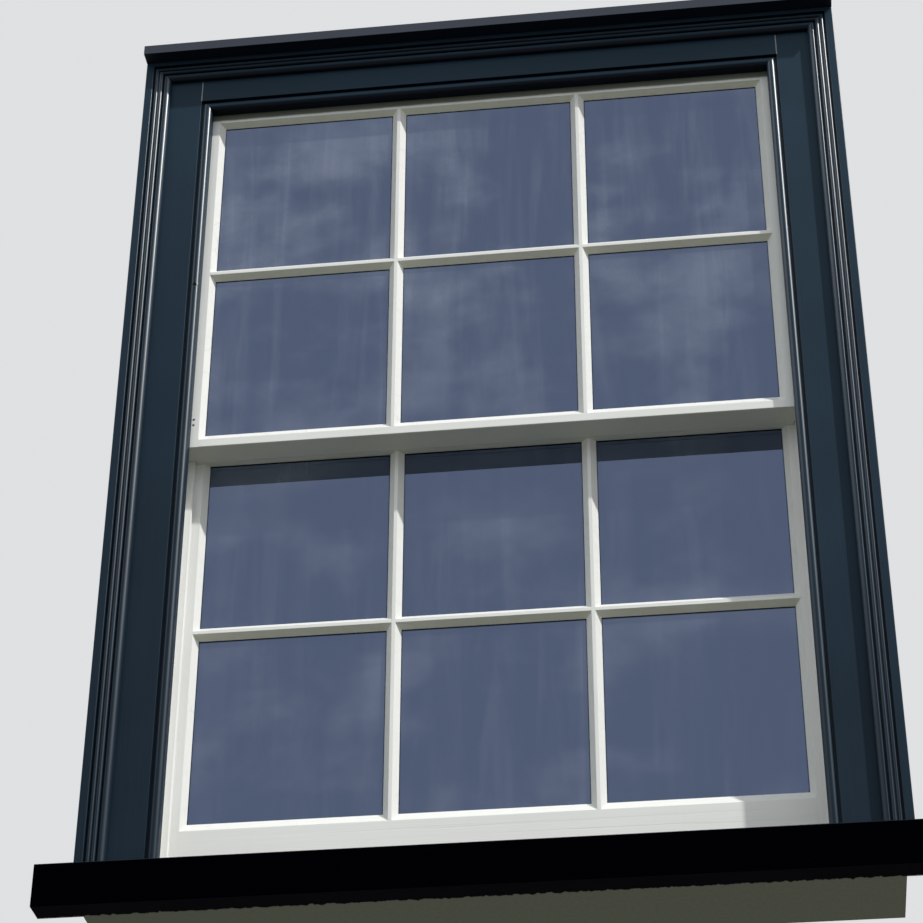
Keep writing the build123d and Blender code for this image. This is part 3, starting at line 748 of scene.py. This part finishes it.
def smoothed(name, vertices, faces):
    # an object of vertices and faces, shaded smooth
    mesh = bpy.data.meshes.new(name)
    mesh.from_pydata(vertices.tolist(), [], faces)
    mesh.update()
    for polygon in mesh.polygons:
        polygon.use_smooth = True
    return placed(name, mesh)


def surface(name, points):
    # mesh of a grid of points: each row is a ring, each ring is joined to the next by quads, and the
    # first and last rings are closed to their middles
    rows, columns = points.shape[:2]
    vertices = np.concatenate([points.reshape(-1, 3), [points[0].mean(0), points[-1].mean(0)]])
    i, j = np.meshgrid(np.arange(rows - 1), np.arange(columns), indexing="ij")
    k = (j + 1) % columns
    quads = np.stack([i * columns + j, i * columns + k, (i + 1) * columns + k, (i + 1) * columns + j], -1)
    j = np.arange(columns)
    k = (j + 1) % columns
    firstMiddle, lastMiddle, lastRing = rows * columns, rows * columns + 1, (rows - 1) * columns
    caps = np.stack([np.full(columns, firstMiddle), k, j], -1).tolist()
    caps += np.stack([np.full(columns, lastMiddle), lastRing + j, lastRing + k], -1).tolist()
    return smoothed(name, vertices, quads.reshape(-1, 4).tolist() + caps)


def together(name, parts):
    # one object from several
    vertices, faces, base = [], [], 0
    for part in parts:
        mesh = part.data
        places = np.zeros(len(mesh.vertices) * 3)
        mesh.vertices.foreach_get("co", places)
        vertices.append(places.reshape(-1, 3))
        faces += [[base + v for v in polygon.vertices] for polygon in mesh.polygons]
        base += len(mesh.vertices)
    for part in parts:
        bpy.data.objects.remove(part)
    return smoothed(name, np.concatenate(vertices), faces)


# sash cords: four strands one way and four the other, braided
cordLook = {
    "radius": 0.0030,
    "relief": 0.00045,
    "strands": 4,  # each way
    "lay": 0.022,  # length of one turn of a strand
    "around": 20,
    "step": 0.0016,
}
knotLook = {"radius": 0.0049, "relief": 0.0006, "lobes": 3, "wind": 4, "rings": 34, "around": 48}
cordPlaces = {
    "wheelX": 0.49075,
    "wheelZ": 1.386,
    "bend": 0.025,
    "upper": {"y": -0.0067, "knot": 1.2548, "weight": 0.753},
    "lower": {"y": 0.0417, "knot": 0.602, "weight": 1.15199},
}


def braid(name, centre, along, sideways, length):
    # tube round a centre line, whose radius falls by the relief between two crossing sets of helices:
    # the greater of cos(n (angle + turn)) and cos(n (angle - turn)) is 1 on a strand
    look = cordLook
    rows = max(int(length / look["step"]), 8)
    s = np.linspace(0, 1, rows)[:, None]
    angle = np.linspace(0, 2 * np.pi, look["around"], endpoint=False)[None, :]
    turn = 2 * np.pi * s * length / look["lay"]
    over = np.maximum(np.cos(look["strands"] * (angle + turn)), np.cos(look["strands"] * (angle - turn)))
    radius = look["radius"] - look["relief"] * (1 - over) / 2
    side = sideways(s)[:, None, :]
    third = np.cross(along(s), sideways(s))[:, None, :]
    outward = np.cos(angle)[..., None] * side + np.sin(angle)[..., None] * third
    return surface(name, centre(s)[:, None, :] + radius[..., None] * outward)


def straightCord(name, x, y, low, high):
    # braid up a plumb line, from low to high
    def centre(s):
        return np.concatenate([x + 0 * s, y + 0 * s, low + (high - low) * s], 1)

    def along(s):
        return np.concatenate([0 * s, 0 * s, 1 + 0 * s], 1)

    def sideways(s):
        return np.concatenate([1 + 0 * s, 0 * s, 0 * s], 1)

    return braid(name, centre, along, sideways, high - low)


def bentCord(name, side, y):
    # braid round half a circle in the plane of the wheel, from the sash's side to the weight's
    places = cordPlaces
    wheel = side * places["wheelX"]

    def sideways(s):
        return np.concatenate([-side * np.cos(np.pi * s), 0 * s, np.sin(np.pi * s)], 1)

    def centre(s):
        return np.array([[wheel, y, places["wheelZ"]]]) + places["bend"] * sideways(s)

    def along(s):
        return np.concatenate([side * np.sin(np.pi * s), 0 * s, np.cos(np.pi * s)], 1)

    return braid(name, centre, along, sideways, np.pi * places["bend"])


def knot(name, x, y, z):
    # ball whose radius swells with the cosine of lobes times the angle plus wind times the way from
    # pole to pole, so that three lobes slant round it
    look = knotLook
    t = np.linspace(0.02, 0.98, look["rings"])[:, None] * np.pi
    angle = np.linspace(0, 2 * np.pi, look["around"], endpoint=False)[None, :]
    lobes = np.cos(look["lobes"] * angle + look["wind"] * t)
    radius = look["radius"] + look["relief"] * lobes * np.sin(t)
    shape = [radius * np.sin(t) * np.cos(angle), radius * np.sin(t) * np.sin(angle), -radius * np.cos(t)]
    return surface(name, np.stack(shape, -1) + np.array([x, y, z]))


inner = cordPlaces["wheelX"] - cordPlaces["bend"]
outer = cordPlaces["wheelX"] + cordPlaces["bend"]
wheelZ = cordPlaces["wheelZ"]
for row in ("upper", "lower"):
    place = cordPlaces[row]
    sash = row + "_sash"
    runs = together(
        row + "_sash_cord_runs",
        [straightCord("run", side * inner, place["y"], place["knot"], wheelZ) for side in (-1, 1)],
    )
    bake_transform(runs)
    knots = together(
        row + "_cord_knots", [knot("knot", side * inner, place["y"], place["knot"]) for side in (-1, 1)]
    )
    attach(knots, sash)
    arcs = together(row + "_cord_bends", [bentCord("bend", side, place["y"]) for side in (-1, 1)])
    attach(arcs, "frame")
    pieces = [runs, knots, arcs]
    for side, word in ((-1, "left"), (1, "right")):
        weight = row + "_" + word + "_weight"
        body = weight + "_body"
        hang = straightCord(weight + "_cord", side * outer, place["y"], place["weight"], wheelZ)
        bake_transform(hang)
        pieces.append(hang)
    for piece in pieces:
        piece.data.materials.append(finishes["cord"])
        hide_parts(row + "_cords")
print("cords braided")

# screws: slotted countersunk heads, each slot turned its own way
screwLook = {
    "head": 0.0033,
    "shank": 0.0015,
    "cone": 0.0019,
    "length": 0.012,
    "point": 0.003,
    "tip": 0.0002,
    "slotWidth": 0.0005,
    "slotDepth": 0.0008,
    "rings": 14,  # on the head's face
    "around": 48,
}
screwPlaces = {
    "plate": {"x": 0.47275, "z": 1.386, "off": 0.052, "turn": 0.7},
    "pocket": {"x": 0.47875, "z": 0.270, "turn": 0.4},
    "keep": {"x": (0.013, 0.038), "y": 0.0043, "turn": 110},
    "base": {"x": (-0.020, 0.032), "y": 0.0373, "turn": 60},
    "lift": {"x": (-0.260, -0.240, 0.240, 0.260), "drop": 0.008, "turn": 40},
    "thick": 0.003,  # of the keep, the base and the lifts
}


def screw(place, outward, turned):
    # profile turned about its axis; the head's face drops where it comes near one diameter, the slot
    look = screwLook
    rings, length = look["rings"], look["length"]
    face = np.linspace(0.02, 1, rings) * look["head"]
    radii = np.concatenate([face, [look["shank"], look["shank"], look["tip"]]])
    heights = np.concatenate([np.zeros(rings), [-look["cone"], look["point"] - length, -length]])
    angle = np.linspace(0, 2 * np.pi, look["around"], endpoint=False)
    x = radii[:, None] * np.cos(angle)[None, :]
    y = radii[:, None] * np.sin(angle)[None, :]
    off = np.abs(x * math.cos(turned) + y * math.sin(turned))
    slot = np.clip((look["slotWidth"] * 1.3 - off) / (look["slotWidth"] * 0.6), 0, 1)
    inHead = (np.arange(len(radii)) < rings - 1)[:, None]
    z = heights[:, None] - look["slotDepth"] * slot * inHead
    axis = Vector(outward)
    across = axis.orthogonal().normalized()
    third = axis.cross(across)
    shape = x[..., None] * np.array(across) + y[..., None] * np.array(third) + z[..., None] * np.array(axis)
    return surface("screw", (shape + np.array(place))[::-1])


plate, pocket, lift = screwPlaces["plate"], screwPlaces["pocket"], screwPlaces["lift"]
frameScrews = []
for side in (-1, 1):
    for row in ("upper", "lower"):
        for off in (-plate["off"], plate["off"]):
            spot = (side * plate["x"], cordPlaces[row]["y"], plate["z"] + off)
            frameScrews.append(screw(spot, (-side, 0, 0), plate["turn"] * len(frameScrews)))
pocketLow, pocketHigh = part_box("pocket_pieces")
for side in (-1, 1):
    spot = (side * pocket["x"], (pocketLow.y + pocketHigh.y) / 2, pocket["z"])
    frameScrews.append(screw(spot, (-side, 0, 0), pocket["turn"] + side))

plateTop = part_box("fastener_keep")[0].z + screwPlaces["thick"]


def topScrews(places):
    # a row of screws driven down into the meeting rails
    return [screw((x, places["y"], plateTop), (0, 0, 1), places["turn"] * x) for x in places["x"]]


liftLow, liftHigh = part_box("sash_lifts")
liftFace, liftRow = liftLow.y + screwPlaces["thick"], liftHigh.z - lift["drop"]
liftScrews = [screw((x, liftFace, liftRow), (0, 1, 0), lift["turn"] * x) for x in lift["x"]]
screwGroups = {
    "frame_screws": ("frame", frameScrews),
    "keep_screws": ("upper_sash", topScrews(screwPlaces["keep"])),
    "lower_screws": ("lower_sash", topScrews(screwPlaces["base"]) + liftScrews),
}
for node, (body, parts) in screwGroups.items():
    piece = together(node.replace("screws", "slotted_screws"), parts)
    piece.data.materials.append(finishes["screw"])
    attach(piece, body)
    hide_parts(node)
print("screws driven")

# light: one high warm key from the right, a soft sky, a floor well below
light = {
    "travel": (-1.7, 1.0, -2.25),
    "key": 3.15,
    "keyColour": (1.0, 0.985, 0.955),
    "softness": 1.2,
    "sky": (0.785, 0.825, 0.86),
    "ground": (0.13, 0.135, 0.12),
    "horizon": (-0.35, 0.45),  # from ground to sky
    "background": (0.74, 0.75, 0.76),
    "floor": (0.085, 0.088, 0.076),  # as it lights the window
    "shownFloor": (0.50, 0.50, 0.495),
    "floorZ": -1.75,
    "floorSize": 14.0,
}
keyData = bpy.data.lights.new("key", "SUN")
keyData.energy = light["key"]
keyData.angle = math.radians(light["softness"])
keyData.color = light["keyColour"]
key = placed("key", keyData)
key.rotation_euler = Vector(light["travel"]).to_track_quat("-Z", "Y").to_euler()

world = bpy.data.worlds.new("studio")
bpy.context.scene.world = world
world.use_nodes = True
sky = Graph(world.node_tree)
height = sky.split(sky.node("TexCoord", {}, {}, "Generated"))[2]
dome = sky.blend(sky.step(height, *light["horizon"]), light["ground"], light["sky"])
shown = sky.blend(sky.looking(), dome, light["background"])
backdrop = sky.node("Background", {}, {"Color": shown, "Strength": 1.0})
sky.node("OutputWorld", {}, {"Surface": backdrop})

size = light["floorSize"]
corners = [(-size, -size), (size, -size), (size, size), (-size, size)]
floorMesh = bpy.data.meshes.new("floor")
floorMesh.from_pydata([(x, y, light["floorZ"]) for x, y in corners], [], [(0, 1, 2, 3)])
floor = placed("floor", floorMesh)
matt = Finish("floor")
floorColour = matt.blend(matt.looking(), light["floor"], light["shownFloor"])
floorMesh.materials.append(matt.shade(baseColor=floorColour, roughness=0.9))
print("lights set")
